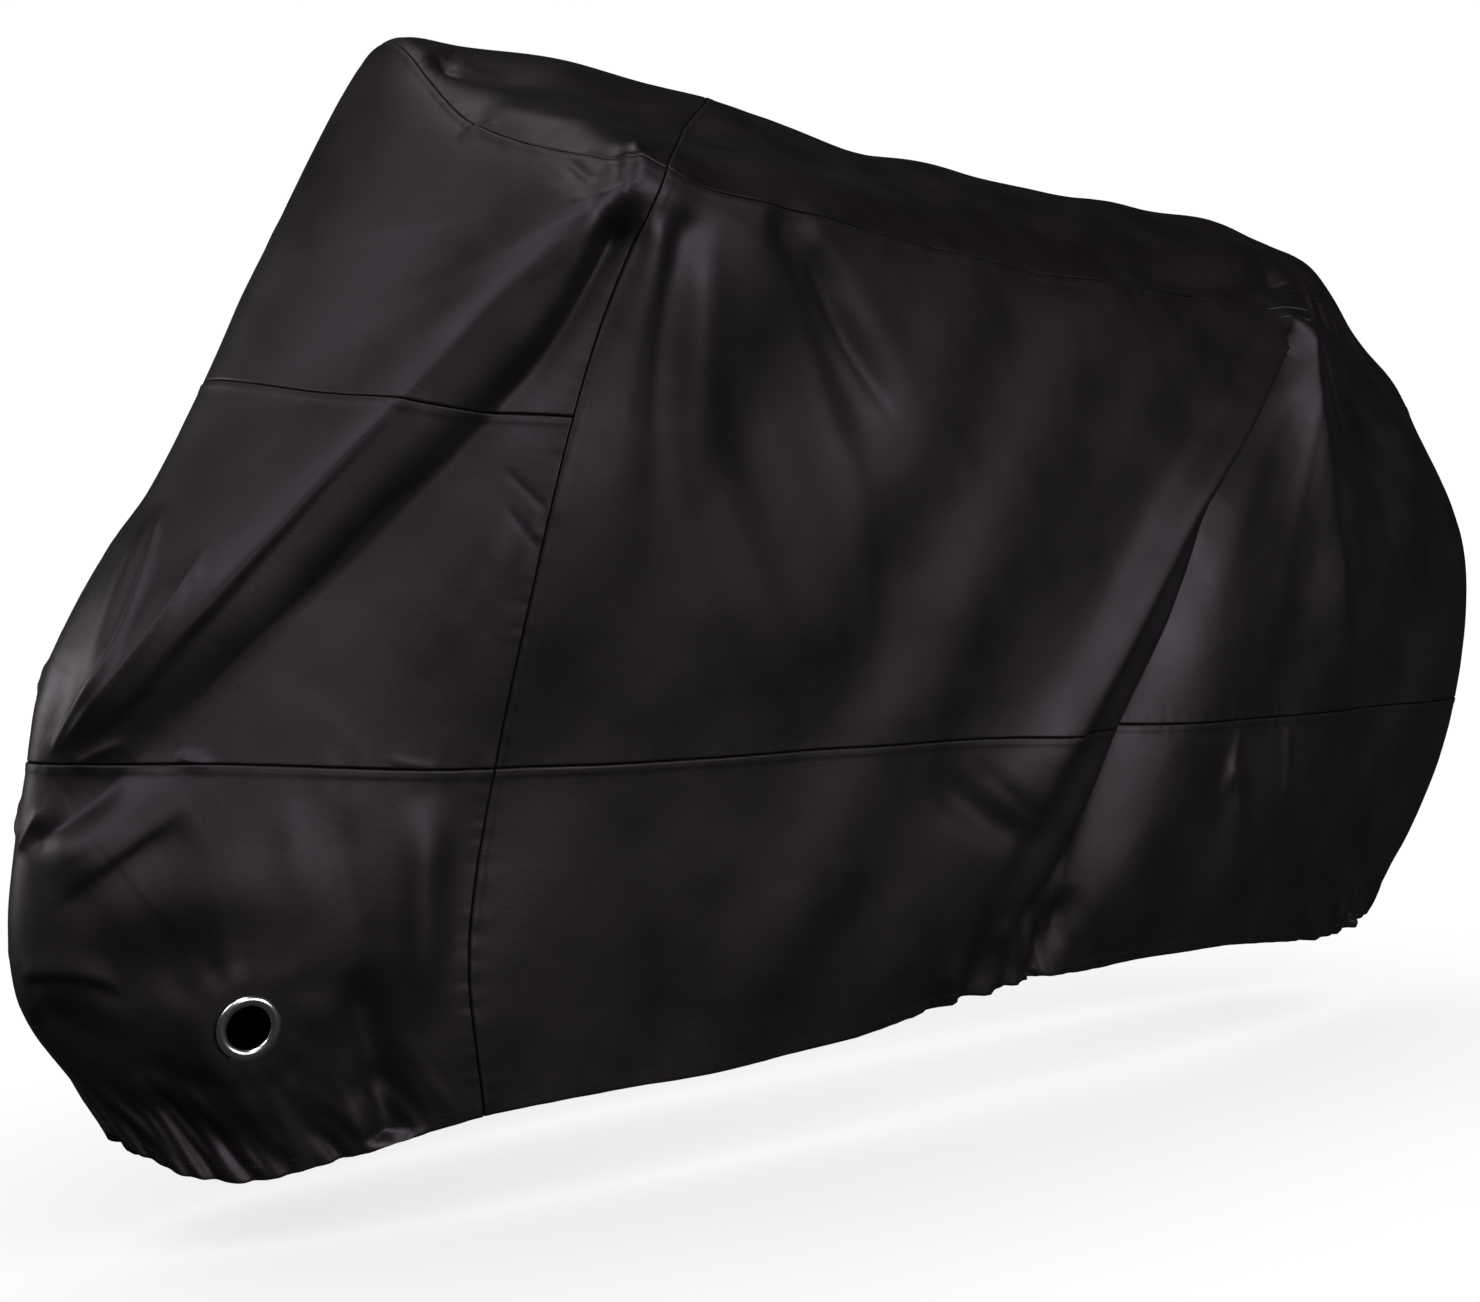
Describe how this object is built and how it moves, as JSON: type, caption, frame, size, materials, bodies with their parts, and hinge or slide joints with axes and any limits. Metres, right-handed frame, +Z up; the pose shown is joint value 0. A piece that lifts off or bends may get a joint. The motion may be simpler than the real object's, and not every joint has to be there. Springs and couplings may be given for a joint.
{
  "type": "motorcycle cover",
  "caption": "Fitted fabric cover draped over a motorcycle, open underneath, with seamed panels, a gathered elastic hem and metal eyelets low at the front.",
  "frame": {"origin": "under the top of the cover, where the saddle of the motorcycle carries it", "axes": "+X towards the rear, +Y towards the right-hand side, +Z up"},
  "size_m": [2.4738, 0.6243, 1.1872],
  "materials": {
    "coated_cloth": "black woven polyester with a smooth waterproof coating and a satin sheen",
    "polished_metal": "polished nickel-plated steel"
  },
  "bodies": {
    "root": {"top_front": "coated_cloth", "top_rear": "coated_cloth", "front_upper": "coated_cloth", "front_middle": "coated_cloth", "front_lower": "coated_cloth", "rear_side": "coated_cloth", "rear_skirt": "coated_cloth", "eyelet_left": "polished_metal", "eyelet_right": "polished_metal"}
  },
  "joints": []
}
